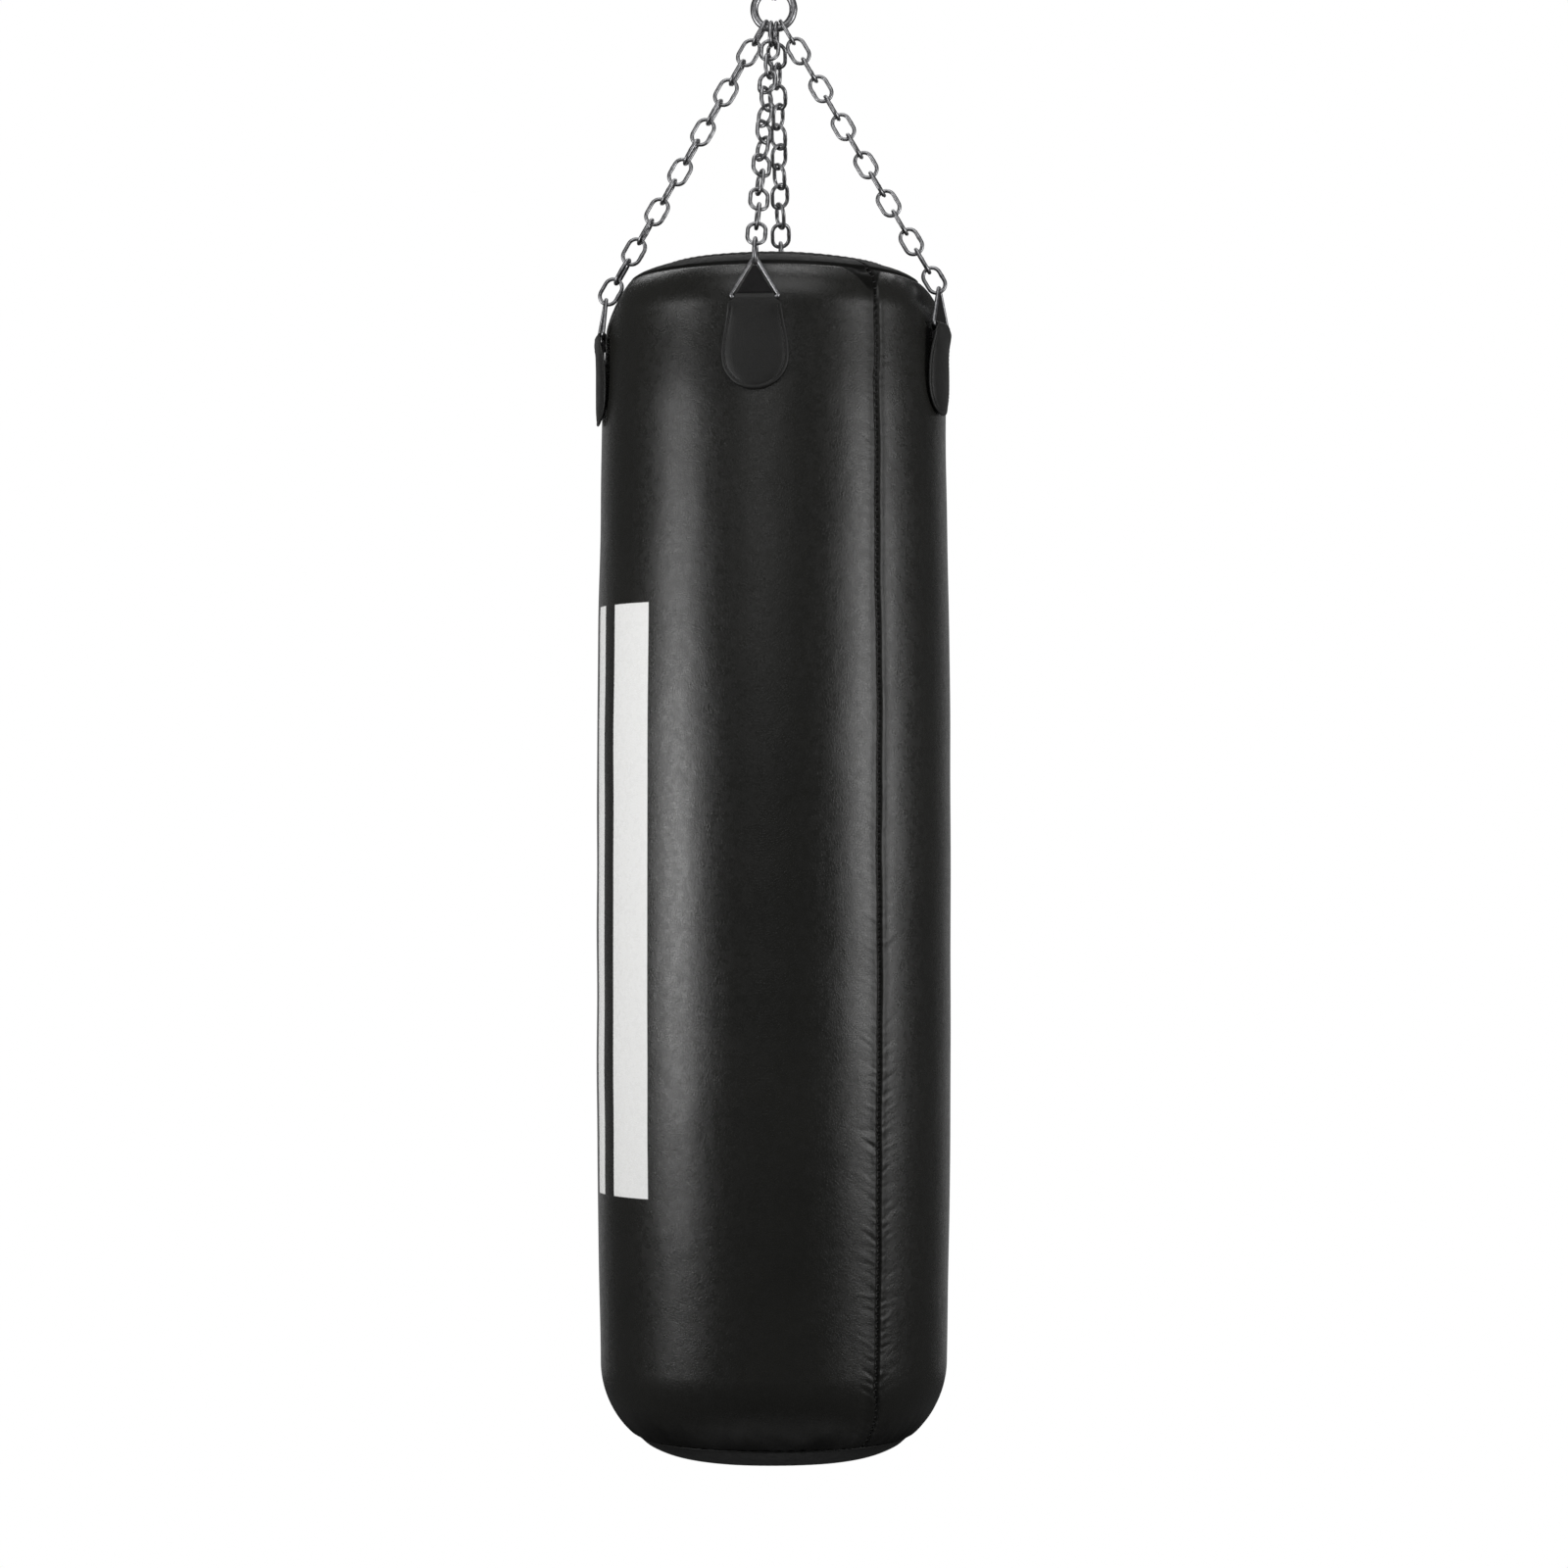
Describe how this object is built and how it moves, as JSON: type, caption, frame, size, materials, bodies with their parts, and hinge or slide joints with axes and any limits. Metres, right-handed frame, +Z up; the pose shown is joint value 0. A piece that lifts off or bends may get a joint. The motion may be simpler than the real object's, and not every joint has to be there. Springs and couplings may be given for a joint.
{
  "type": "heavy punching bag",
  "caption": "Stuffed leather heavy bag, round and closed by a zip on top, hung by link chains from an o-ring, a ball-bearing swivel and a sprung snap hook.",
  "frame": {"origin": "the bearing point inside the top bend of the snap hook, where a ceiling hook carries the bag", "axes": "+Z up along the bag, -Y towards the front tab, +X towards the right tab"},
  "size_m": [0.363, 0.3687, 1.6231],
  "materials": {
    "black_leather": "satin",
    "tab_leather": "satin",
    "webbing": "matte",
    "canvas": "matte",
    "foam": "matte",
    "textile_fill": "matte",
    "zip_cloth": "matte",
    "zip_metal": "satin",
    "zinc_steel": "satin",
    "forged_steel": "satin",
    "bearing_steel": "polished"
  },
  "bodies": {
    "snap_hook": {"snap_hook_body": "forged_steel", "gate_pin": "bearing_steel"},
    "hook_gate": {"snap_hook_gate": "forged_steel", "gate_spring": "bearing_steel"},
    "swivel_top": {"swivel_housing": "forged_steel", "swivel_end_cap": "forged_steel", "bearing_lower_race": "bearing_steel"},
    "swivel_bolt": {"swivel_eye_bolt": "forged_steel", "swivel_nut": "zinc_steel", "bearing_upper_race": "bearing_steel", "bearing_ball_cage": "bearing_steel"},
    "bag": {"o_ring": "zinc_steel", "front_chain": "zinc_steel", "right_chain": "zinc_steel", "back_chain": "zinc_steel", "left_chain": "zinc_steel", "shell_wall": "black_leather", "base_disc": "black_leather", "top_rim_binding": "black_leather", "top_lid": "black_leather", "zip_tape": "zip_cloth", "foam_sleeve": "foam", "canvas_liner": "canvas", "textile_fill": "textile_fill", "front_webbing": "webbing", "front_tab": "tab_leather", "front_triangle_ring": "zinc_steel", "right_webbing": "webbing", "right_tab": "tab_leather", "right_triangle_ring": "zinc_steel", "back_webbing": "webbing", "back_tab": "tab_leather", "back_triangle_ring": "zinc_steel", "left_webbing": "webbing", "left_tab": "tab_leather", "left_triangle_ring": "zinc_steel"},
    "slider": {"zip_slider": "zip_metal"},
    "puller": {"zip_puller": "zip_metal"}
  },
  "joints": [
    {"name": "gate_hinge", "type": "hinge", "parent": "snap_hook", "child": "hook_gate", "pos_m": [0.015, 0, -0.047], "axis": [0, -1, 0], "range_deg": [0, 25], "stiffness_Nm_per_rad": 0.3, "springref_deg": -28.65, "deforming": ["gate_spring"]},
    {"name": "hook_swing", "type": "hinge", "parent": "snap_hook", "child": "swivel_top", "pos_m": [0, 0, -0.068], "axis": [1, 0, 0], "range_deg": [-40, 40]},
    {"name": "swivel_spin", "type": "hinge", "parent": "swivel_top", "child": "swivel_bolt", "pos_m": [0, 0, -0.1], "axis": [0, 0, 1], "continuous": true},
    {"name": "ring_swing", "type": "hinge", "parent": "swivel_bolt", "child": "bag", "pos_m": [0, 0, -0.135], "axis": [0, 1, 0], "range_deg": [-40, 40]},
    {"name": "zip_slide", "type": "slide", "parent": "bag", "child": "slider", "axis": [1, 0, 0], "range_m": [0, 0.156]},
    {"name": "puller_flip", "type": "hinge", "parent": "slider", "child": "puller", "pos_m": [-0.078, 0, -0.4202], "axis": [0, -1, 0], "range_deg": [0, 150]}
  ]
}
